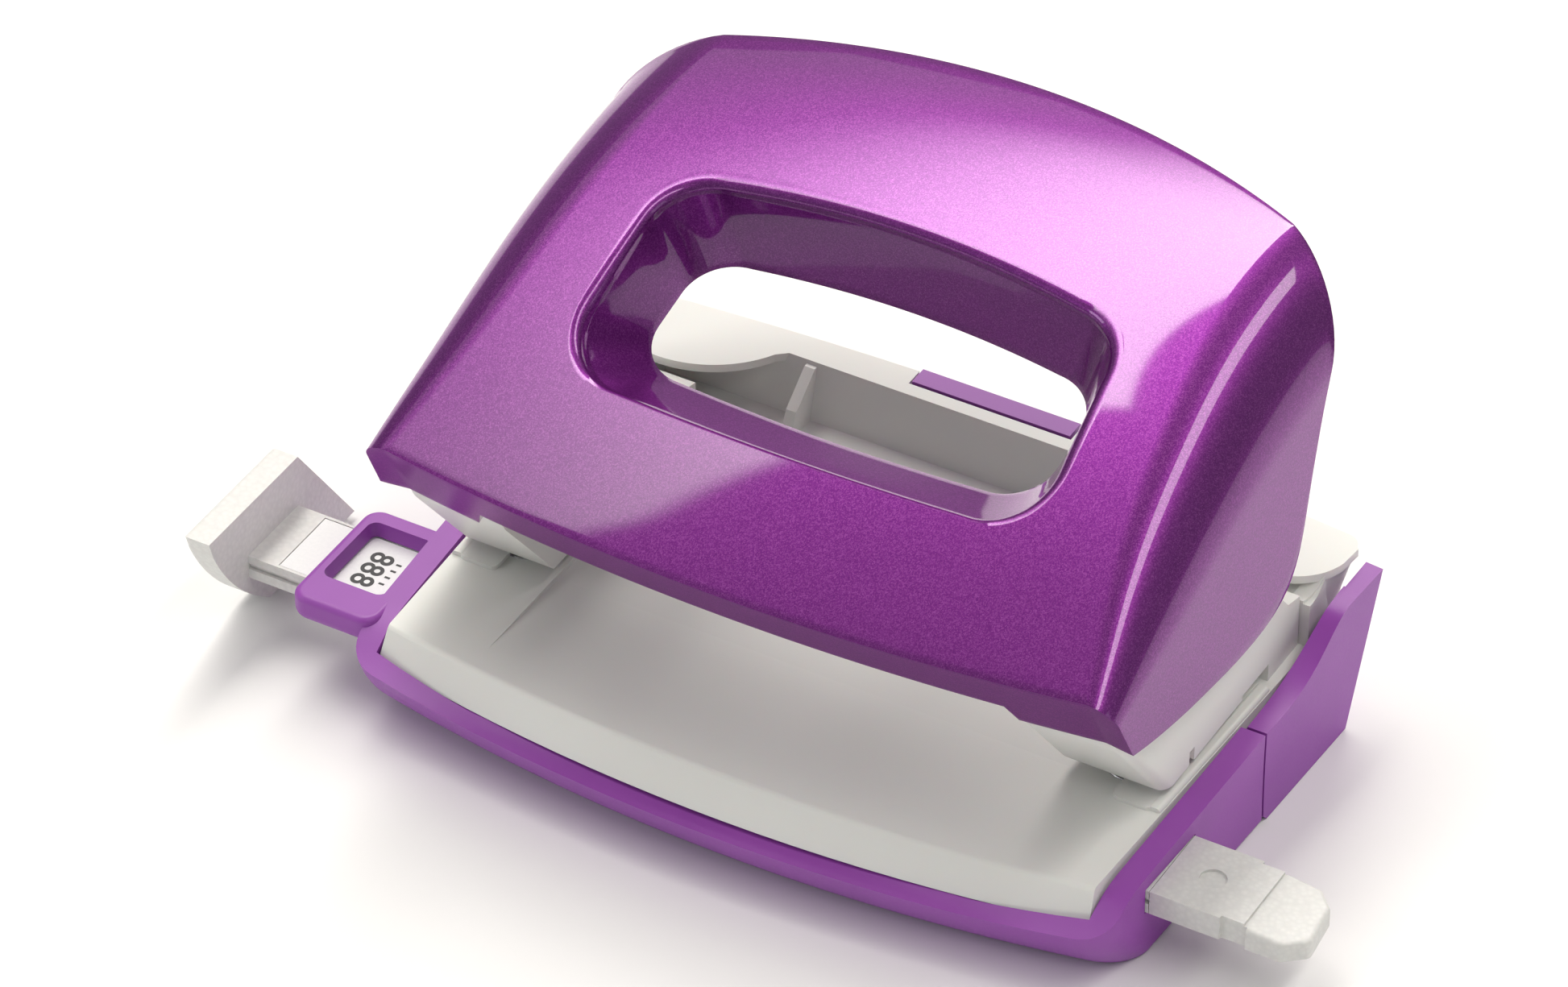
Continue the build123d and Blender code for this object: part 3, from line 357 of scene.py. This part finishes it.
# ---- handle: one continuous sheet, then thickened ----------------------------
# All in mm.  The panel is a crowned surface over the plan, folded down at both sides.
# Middle of the panel in side view, from the front up to the rear edge.
PROFILE = [(-40, 27.4), (-31, 35.0), (-20, 42.8), (-9, 49.6), (3, 55.7), (15, 60.1), (27, 62.4),
           (38, 62.8), (50, 61.4)]
PANEL_HALF = 48.0
WALL_FOOT_X, WALL_FOOT_Z, WALL_DRAFT = 48.6, 26.0, 0.05
SAG_FRONT, SAG_BACK = 1.1, 3.6
CHIN_Y, REAR_PANEL_Y, REAR_WALL_Y = -23.7, 39.2, 33.0
FRONT_BOW, REAR_BOW = 2.8, 7.2
CHIN_BACK_Y = -17.5
SKIRT_LEAN = 0.4777 / 0.8785
CHIN_FOOT_Z, STEP_RISE, STEP_X = 30.4, 2.6, 33.9
FOLD_RADIUS = [(0, 3.2), (0.08, 4.6), (0.2, 6.6), (0.45, 8.8), (0.7, 10.0), (1.0, 10.0)]
SHEET = 1.5
# Flange edge in side view, from the chin tip up to the rear end of the fold.
FLANGE_EDGE = [
    (-19.3, 30.4), (-15.3, 29.3), (-11.3, 28.4), (-6.5, 27.5), (-1.5, 26.8), (3.5, 26.2), (8.2, 25.9),
    (12.6, 26.0), (16.2, 26.8), (18.9, 28.4), (20.9, 31.0), (22.3, 34.2), (23.7, 38.2), (25.2, 42.2),
    (26.9, 46.4), (28.8, 50.4),
]
ROWS, COLUMNS, RINGS = 64, 80, 22
FOLD_STEPS, WALL_STEPS, ROLL_STEPS, FUNNEL_STEPS = 14, 12, 5, 10
ARC_STEPS, EDGE_SAMPLES, BOSS_STEPS = 12, 60, 32
FIRST_ROW = 0.0085
FOLD_SHARE = 0.97        # the most of a side row that its fold may take
RING_EASE = 1.25         # draws the rings closer together towards the rim
CORNER_LOOK = 3.0        # how far from a window corner the bowed edge's direction is taken
# Share of the wall taken off at the front corner edges, to keep the chin's inner face in the walls.
CORNER_THINNING = 0.9
RIM_ROLL, ROLL_ANGLE = 1.4, 72
RIM = {"low": (30.0, -9.4), "high": (28.9, 14.1), "arch": (1.3, 2.8), "r": 7.0}
INNER = {"low": (25.7, -0.6), "high": (25.5, 15.1), "arch": (1.0, 2.3), "r": 6.0}
INNER_Y, INNER_Z, INNER_SLOPE = 8.5, 46.0, 0.2747
# The window wall's fine step, as shares of the way down with how far each stands out, then the rest.
WINDOW_STEP, WINDOW_SET, WINDOW_MIDDLE_Y = [(0.03, 0.0), (0.06, 0.16), (0.10, 0.16)], 0.12, 3.0
BOSS_R, BOSS_HOLE_R, BOSS_CHAMFER, BOSS_SINK = 3.0, 1.1, 0.3, 0.6
SCREW_REACH = 2.2        # how far inside the lever screws' outermost point the bosses stand
EDGE_ROUND, EDGE_SEGMENTS, EDGE_ANGLE = 0.35, 3, 45
SHARP = 32
CHIN_NORMAL = (-0.5, -0.2)    # a chin face looks further forward and down than this


def natural_cubic(points):
    """A smooth curve through points, as a function."""
    xs, ys = zip(*points)
    n = len(xs)
    h = [xs[i + 1] - xs[i] for i in range(n - 1)]
    rise = [(ys[i + 1] - ys[i]) / h[i] for i in range(n - 1)]
    low, scale, right = [1.0], [0.0], [0.0]
    for i in range(1, n - 1):
        low.append(2 * (xs[i + 1] - xs[i - 1]) - h[i - 1] * scale[-1])
        right.append((3 * (rise[i] - rise[i - 1]) - h[i - 1] * right[-1]) / low[-1])
        scale.append(h[i] / low[-1])
    c = [0.0] * n
    for j in range(n - 2, -1, -1):
        c[j] = right[j] - scale[j] * c[j + 1]

    def value(x):
        j = max(0, min(n - 2, sum(q <= x for q in xs) - 1))
        f = x - xs[j]
        b = rise[j] - h[j] * (c[j + 1] + 2 * c[j]) / 3
        return ys[j] + b * f + c[j] * f**2 + (c[j + 1] - c[j]) / (3 * h[j]) * f**3
    return value


profile_z = natural_cubic(PROFILE)
fold_radius = natural_cubic(FOLD_RADIUS)
edge_y = natural_cubic([(i, p[0]) for i, p in enumerate(FLANGE_EDGE)])
edge_z = natural_cubic([(i, p[1]) for i, p in enumerate(FLANGE_EDGE)])


def half_width(z):
    return WALL_FOOT_X - WALL_DRAFT * (z - WALL_FOOT_Z)


def panel_z(x, y):
    s = max(0.0, min(1.0, (y - CHIN_Y) / (REAR_PANEL_Y - CHIN_Y)))
    return profile_z(y) - (SAG_FRONT + (SAG_BACK - SAG_FRONT) * s) * (x / PANEL_HALF) ** 2


def wall_corner(s):
    """Where panel and side wall would meet, in side view, with the wall's half width there."""
    y = CHIN_Y + (REAR_WALL_Y - CHIN_Y) * s
    z = panel_z(PANEL_HALF, y)
    return y, z, half_width(z)


def row_y(x, s):
    """Plan line of row s: bowed forward at the chin, backward at the rear edge."""
    run = CHIN_Y + (REAR_PANEL_Y - CHIN_Y) * s
    return run + (REAR_BOW * s**2 - FRONT_BOW * (1 - s) ** 2) * (1 - (x / fold_start(s)) ** 2)


def row_place(k):
    """Rows are even, but the first stands close to the chin so that its corner shades crisply."""
    return FIRST_ROW if k == 1 else k / ROWS


def fold_start(s):
    return wall_corner(s)[2] - fold_radius(s)


def side_line(s):
    """One row from the end of the panel round the fold and down to the flange edge, for the right side."""
    cy, cz, cx = wall_corner(s)
    r, xt = fold_radius(s), fold_start(s)
    t = s * (len(FLANGE_EDGE) - 1)
    by, bz = edge_y(t), edge_z(t)
    length = hypot(by - cy, bz - cz)
    wy, wz = (by - cy) / length, (bz - cz) / length
    drop = min(r, FOLD_SHARE * length)
    y0 = row_y(xt, s)
    z0 = panel_z(xt, y0)
    line = [(xt, y0, z0)]
    for k in range(1, FOLD_STEPS + 1):
        a = k / FOLD_STEPS * pi / 2
        reach, fall = sin(a), drop * (1 - cos(a))
        y = y0 + (cy - y0) * reach + wy * fall
        z = z0 + (cz - z0) * reach + wz * fall
        line.append((xt + (cx - xt) * reach, y, z))
    for k in range(1, WALL_STEPS + 1):
        d = drop + (length - drop) * k / WALL_STEPS
        line.append((half_width(cz + wz * d), cy + wy * d, cz + wz * d))
    shift = half_width(line[FOLD_STEPS][2]) - line[FOLD_STEPS][0]
    fold = [(x + shift * (k / FOLD_STEPS), y, z) for k, (x, y, z) in enumerate(line[:FOLD_STEPS + 1])]
    return fold + line[FOLD_STEPS + 1:]


def corner_arc(before, corner, after, r):
    """Arc of radius r that rounds a corner of the plan outline, and the length it takes off each side."""
    p = Vector(corner)
    d0, d1 = (Vector(before) - p).normalized(), (Vector(after) - p).normalized()
    half = d0.angle(d1) / 2
    run = r / tan(half)
    centre = p + (d0 + d1).normalized() * (r / sin(half))
    start = p + d0 * run - centre
    turn = pi - 2 * half
    arc = []
    for k in range(ARC_STEPS + 1):
        a = turn * k / ARC_STEPS
        arc.append((centre.x + start.x * cos(a) - start.y * sin(a),
                    centre.y + start.x * sin(a) + start.y * cos(a)))
    return arc, run


def outline(spec, grow, counts):
    """Rounded window outline in plan, counter-clockwise from the middle of the front left corner."""
    (xl, yl), (xh, yh) = spec["low"], spec["high"]
    xl, xh, yl, yh = xl + grow, xh + grow, yl - grow, yh + grow
    low_arch, high_arch = spec["arch"]
    r = spec["r"] + grow

    def front(x):
        return (x, yl - low_arch * (1 - (x / xl) ** 2))

    def back(x):
        return (x, yh + high_arch * (1 - (x / xh) ** 2))

    arc_front, run_front = corner_arc(front(xl - CORNER_LOOK), (xl, yl), (xh, yh), r)
    arc_back, run_back = corner_arc((xl, yl), (xh, yh), back(xh - CORNER_LOOK), r)
    inner = range(1, EDGE_SAMPLES)
    front_x = [-(xl - run_front) + 2 * (xl - run_front) * k / EDGE_SAMPLES for k in inner]
    back_x = [(xh - run_back) - 2 * (xh - run_back) * k / EDGE_SAMPLES for k in inner]
    mirror_front = [(-x, y) for x, y in reversed(arc_front)]
    mirror_back = [(-x, y) for x, y in reversed(arc_back)]
    middle = ARC_STEPS // 2
    stretches = [
        mirror_front[middle:] + [front(x) for x in front_x] + arc_front[:middle + 1],
        arc_front[middle:] + arc_back[:middle + 1],
        arc_back[middle:] + [back(x) for x in back_x] + mirror_back[:middle + 1],
        mirror_back[middle:] + mirror_front[:middle + 1],
    ]
    return [point for points, count in zip(stretches, counts) for point in even(points, count)]


def even(points, count):
    """count points at equal steps along a line, without its last one."""
    lengths = [0.0]
    for a, b in zip(points, points[1:]):
        lengths.append(lengths[-1] + hypot(b[0] - a[0], b[1] - a[1]))
    out, j = [], 0
    for k in range(count):
        want = lengths[-1] * k / count
        while lengths[j + 1] < want:
            j += 1
        f = (want - lengths[j]) / (lengths[j + 1] - lengths[j])
        out.append(tuple(a + (b - a) * f for a, b in zip(points[j], points[j + 1])))
    return out


def plan_boundary():
    """Edge of the panel, counter-clockwise from the front left, as plan points."""
    loop = []
    x0, x1 = fold_start(0), fold_start(1)
    loop.extend((x, row_y(x, 0)) for x in (-x0 + 2 * x0 * k / COLUMNS for k in range(COLUMNS)))
    places = [row_place(k) for k in range(ROWS + 1)]
    right = [(fold_start(s), row_y(fold_start(s), s)) for s in places]
    loop.extend(right[:ROWS])
    loop.extend((x, row_y(x, 1)) for x in (x1 - 2 * x1 * k / COLUMNS for k in range(COLUMNS)))
    loop.extend((-x, y) for x, y in reversed(right[1:]))
    return loop


class Sheet:
    """Collects the vertices and quads of one surface, in mm, and the wall share of thinned vertices."""

    def __init__(self):
        self.verts, self.faces, self.thinned = [], [], {}

    def add(self, points):
        first = len(self.verts)
        self.verts.extend(points)
        return list(range(first, len(self.verts)))

    def bridge(self, a, b, closed=False):
        pairs = range(len(a) if closed else len(a) - 1)
        for i in pairs:
            j = (i + 1) % len(a)
            self.faces.append((a[i], a[j], b[j], b[i]))

    def ring(self, before, points):
        """Adds a closed row and joins it to the row before."""
        row = self.add(points)
        self.bridge(before, row, closed=True)
        return row


def panel(sheet, outer, rim):
    """Rings from the panel's edge in to the window's rim; returns the first and the last."""
    first = ring = sheet.add([(x, y, panel_z(x, y)) for x, y in outer])
    for k in range(1, RINGS + 1):
        f = 1 - (1 - k / RINGS) ** RING_EASE
        points = [(a[0] + (b[0] - a[0]) * f, a[1] + (b[1] - a[1]) * f) for a, b in zip(outer, rim)]
        ring = sheet.ring(ring, [(x, y, panel_z(x, y)) for x, y in points])
    return first, ring


def rolled_rim(sheet, ring, rim, counts):
    """Rolls the panel's inner edge down into the window; returns the last ring."""
    for k in range(1, ROLL_STEPS + 1):
        a = k / ROLL_STEPS * radians(ROLL_ANGLE)
        line = outline(RIM, RIM_ROLL * (1 - sin(a)), counts)
        fall = RIM_ROLL * (1 - cos(a))
        ring = sheet.ring(ring, [(x, y, panel_z(rx, ry) - fall) for (x, y), (rx, ry) in zip(line, rim)])
    return ring


def window_walls(sheet, ring, counts):
    """Walls of the window, drawn in towards a lower outline, with a fine step near the top."""
    top = [sheet.verts[i] for i in ring]
    low = [(x, y, INNER_Z + (y - INNER_Y) * INNER_SLOPE) for x, y in outline(INNER, 0, counts)]
    for f, out in WINDOW_STEP + [(k / FUNNEL_STEPS, WINDOW_SET) for k in range(2, FUNNEL_STEPS + 1)]:
        points = []
        for a, b in zip(top, low):
            x, y, z = (p + (q - p) * f for p, q in zip(a, b))
            away = Vector((x, y - WINDOW_MIDDLE_Y)).normalized() * out
            points.append((x + away.x, y + away.y, z))
        ring = sheet.ring(ring, points)


def side_wall(sheet, boundary, side):
    """Fold and wall of one side (1 right, -1 left), row by row; returns the row at the chin."""
    lines = []
    for k in range(ROWS + 1):
        first = boundary[COLUMNS + k] if side > 0 else boundary[-k % len(boundary)]
        line = sheet.add([(side * x, y, z) for x, y, z in side_line(row_place(k))[1:]])
        lines.append([first] + line)
    for a, b in zip(lines, lines[1:]):
        sheet.bridge(*((a, b) if side > 0 else (b, a)))
    return lines[0]


def chin(sheet, boundary, left, right):
    """From the front edge of panel and folds down to the foot; left and right are the chin's side rows."""
    tops = list(reversed(left[1:FOLD_STEPS + 1])) + boundary[:COLUMNS + 1] + right[1:FOLD_STEPS + 1]
    wall_top, wall_foot = sheet.verts[right[FOLD_STEPS]], sheet.verts[right[-1]]
    wall_lean = (wall_foot[1] - wall_top[1]) / (wall_top[2] - wall_foot[2])
    flare = wall_foot[0] - wall_top[0]
    last = len(tops) - 1
    steps = [k / WALL_STEPS for k in range(1, WALL_STEPS + 1)]
    columns = []
    for n, i in enumerate(tops):
        x, y, z = sheet.verts[i]
        turn = sin(max(0, FOLD_STEPS - n, n - last + FOLD_STEPS) / FOLD_STEPS * pi / 2)
        lean = SKIRT_LEAN + (wall_lean - SKIRT_LEAN) * turn
        out = flare * turn * (1 if x > 0 else -1)
        foot = CHIN_FOOT_Z + (STEP_RISE if abs(x) < STEP_X else 0.0)
        if n == 0:
            column = left[FOLD_STEPS + 1:]
        elif n == last:
            column = right[FOLD_STEPS + 1:]
        else:
            column = sheet.add([(x + out * f, y + (z - foot) * lean * f, z + (foot - z) * f) for f in steps])
        columns.append([i] + column)
        if turn:
            sheet.thinned.update((j, 1 - CORNER_THINNING * turn) for j in columns[-1])
    for a, b in zip(columns, columns[1:]):
        sheet.bridge(a, b)


def handle_sheet():
    """The handle's outer surface."""
    sheet = Sheet()
    counts = (COLUMNS, ROWS, COLUMNS, ROWS)
    outer, rim = plan_boundary(), outline(RIM, RIM_ROLL, counts)
    boundary, ring = panel(sheet, outer, rim)
    ring = rolled_rim(sheet, ring, rim, counts)
    window_walls(sheet, ring, counts)
    right = side_wall(sheet, boundary, 1)
    left = side_wall(sheet, boundary, -1)
    chin(sheet, boundary, left, right)
    return sheet


def tube(target, x, y, z0):
    """Screw boss: a tube from z0 up into the panel, added to a bmesh."""
    shape = ((BOSS_HOLE_R, z0 + BOSS_CHAMFER), (BOSS_HOLE_R + BOSS_CHAMFER, z0), (BOSS_R, z0),
             (BOSS_R, None), (BOSS_HOLE_R, None))
    loops = []
    for r, z in shape:
        loop = []
        for k in range(BOSS_STEPS):
            px, py = x + r * cos(2 * pi * k / BOSS_STEPS), y + r * sin(2 * pi * k / BOSS_STEPS)
            height = panel_z(px, py) - SHEET * BOSS_SINK if z is None else z
            loop.append(target.verts.new((px * MM, py * MM, height * MM)))
        loops.append(loop)
    for a, b in zip(loops, loops[1:] + loops[:1]):
        for k in range(BOSS_STEPS):
            n = (k + 1) % BOSS_STEPS
            target.faces.new((a[k], a[n], b[n], b[k]))


def face_outwards(piece):
    """Turns the faces so that the highest one looks up."""
    mesh = bmesh.new()
    mesh.from_mesh(piece.data)
    bmesh.ops.recalc_face_normals(mesh, faces=mesh.faces)
    highest = max(mesh.faces, key=lambda f: f.calc_center_median().z)
    if highest.normal.z < 0:
        bmesh.ops.reverse_faces(mesh, faces=mesh.faces)
    mesh.to_mesh(piece.data)
    mesh.free()


def settle(piece):
    """Applies the modifiers and marks the hard edges."""
    graph = bpy.context.evaluated_depsgraph_get()
    mesh = bpy.data.meshes.new_from_object(piece.evaluated_get(graph))
    piece.modifiers.clear()
    piece.data = mesh
    mesh.shade_smooth()
    mesh.set_sharp_from_angle(angle=radians(SHARP))


def thicken(piece, thinned):
    """Gives the sheet its wall, thinner where thinned says, and breaks its edges."""
    group = piece.vertex_groups.new(name="thickness")
    group.add(list(range(len(piece.data.vertices))), 1.0, "REPLACE")
    for i, weight in thinned.items():
        group.add([i], weight, "REPLACE")
    thick = piece.modifiers.new("thickness", "SOLIDIFY")
    thick.vertex_group = group.name
    thick.thickness = SHEET * MM
    thick.offset = -1
    thick.use_even_offset = True
    soften = piece.modifiers.new("soften", "BEVEL")
    soften.width = EDGE_ROUND * MM
    soften.segments = EDGE_SEGMENTS
    soften.limit_method = "ANGLE"
    soften.angle_limit = radians(EDGE_ANGLE)
    soften.use_clamp_overlap = True
    settle(piece)
    piece.vertex_groups.clear()


def add_bosses(piece):
    """Screw bosses over the two levers."""
    mesh = bmesh.new()
    mesh.from_mesh(piece.data)
    lever_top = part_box("lever_left")[1].z / MM
    screw_low, screw_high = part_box("lever_screws")
    boss_y = (screw_low.y + screw_high.y) / 2 / MM
    boss_x = screw_high.x / MM - SCREW_REACH
    for side in (-1, 1):
        tube(mesh, side * boss_x, boss_y, lever_top)
    mesh.to_mesh(piece.data)
    mesh.free()


def paint_chin(piece, edge_material):
    """Gives the faces of the chin strip a material of their own."""
    piece.data.materials.append(edge_material)
    for face in piece.data.polygons:
        faces_chin = face.normal.y < CHIN_NORMAL[0] and face.normal.z < CHIN_NORMAL[1]
        if faces_chin and face.center.y < CHIN_BACK_Y * MM:
            face.material_index = 1


def make_handle(material, edge_material):
    sheet = handle_sheet()
    verts = [(x * MM, y * MM, z * MM) for x, y, z in sheet.verts]
    handle = mesh_object("handle_lever_shell", verts, sheet.faces, material)
    face_outwards(handle)
    thicken(handle, sheet.thinned)
    add_bosses(handle)
    paint_chin(handle, edge_material)
    handle.data.set_sharp_from_angle(angle=radians(SHARP))
    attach(handle, "handle")
    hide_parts("handle_shell")


# ---- print on the format strip -----------------------------------------------
WINDOW_X = -54.6
DIGIT_Y = (-10.17, -12.33, -14.57)
DASH_X, DASH_Y = -52.3, (-10.25, -11.5, -12.8, -14.1)
DASH_SIZE = (0.7, 0.3)
PRINT_T = 0.02
DIGIT_SIZE, DIGIT_BOLD = 4.1, 0.05


def printed(name, text, x, y, material, z):
    """A raised print: the text reads towards the front, its top towards +X."""
    curve = bpy.data.curves.new(name, "FONT")
    curve.body = text
    curve.size = DIGIT_SIZE * MM
    curve.align_x, curve.align_y = "CENTER", "CENTER"
    curve.offset = DIGIT_BOLD * MM
    curve.extrude = PRINT_T * MM
    holder = bpy.data.objects.new(name + "_curve", curve)
    bpy.context.scene.collection.objects.link(holder)
    mesh = bpy.data.meshes.new_from_object(holder.evaluated_get(bpy.context.evaluated_depsgraph_get()))
    bpy.data.objects.remove(holder)
    middle = sum((v.co for v in mesh.vertices), Vector()) / len(mesh.vertices)
    for v in mesh.vertices:
        across, up, out = v.co.x - middle.x, v.co.y - middle.y, v.co.z
        v.co = (x * MM + up, y * MM - across, z + PRINT_T * MM + out)
    mesh.materials.clear()
    mesh.materials.append(material)
    piece = bpy.data.objects.new(name, mesh)
    bpy.context.scene.collection.objects.link(piece)
    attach(piece, "guide")


def printed_dash(name, x, y, material, z):
    """A short raised stroke along X."""
    dx, dy = DASH_SIZE[0] / 2, DASH_SIZE[1] / 2
    plan = [(x - dx, y - dy), (x + dx, y - dy), (x + dx, y + dy), (x - dx, y + dy)]
    verts = [(px * MM, py * MM, z + up * MM) for up in (PRINT_T / 2, 2 * PRINT_T) for px, py in plan]
    faces = [(3, 2, 1, 0), (4, 5, 6, 7)] + [(k, (k + 1) % 4, (k + 1) % 4 + 4, k + 4) for k in range(4)]
    piece = mesh_object(name, verts, faces, material)
    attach(piece, "guide")


def make_print(material):
    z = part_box("format_strip")[1].z
    for n, y in enumerate(DIGIT_Y):
        printed(f"format_888_digit_{n + 1}", "8", WINDOW_X, y, material, z)
    for n, y in enumerate(DASH_Y):
        printed_dash(f"format_888_dash_{n + 1}", DASH_X, y, material, z)


# ---- everything --------------------------------------------------------------
def main():
    make_camera()
    make_lights()
    make_floor(floor_paint())
    paint = flake_paint("purple_flake_lacquer", 0.9, 0.04)
    edge_paint = flake_paint("purple_flake_lacquer_front_edge", 0.5, 0.3)
    purple, white = satin_purple(), satin_white()
    dress(["handle_shell"], paint)
    dress(["chip_tray", "chip_flap"], purple)
    dress(["base_plate", "head_left", "head_right", "rear_body"], white)
    dress(["end_stop", "guide_tab", "guide_bar"], grained_white())
    dress(["format_strip"], print_film())
    upright = steel("ground_steel_upright", (0.56, 0.56, 0.58), (1, 1, 0.08))
    across = steel("ground_steel_across", (0.55, 0.55, 0.57), (0.08, 1, 1))
    pressed = steel("pressed_steel", (0.50, 0.50, 0.52), (1, 0.2, 1), 0.34)
    wire = steel("spring_wire", (0.62, 0.62, 0.63), (0.5, 0.5, 1), 0.2)
    dress(["punch_left", "punch_right", "die_left", "die_right"], upright)
    dress(["axle_left", "axle_right", "flap_pin_left", "flap_pin_right"], across)
    dress(["lever_left", "lever_right", "clip_left", "clip_right", "base_screws", "lever_screws"], pressed)
    dress(["spring_left", "spring_right", "guide_detent"], wire)
    make_handle(paint, edge_paint)
    make_print(ink())


main()
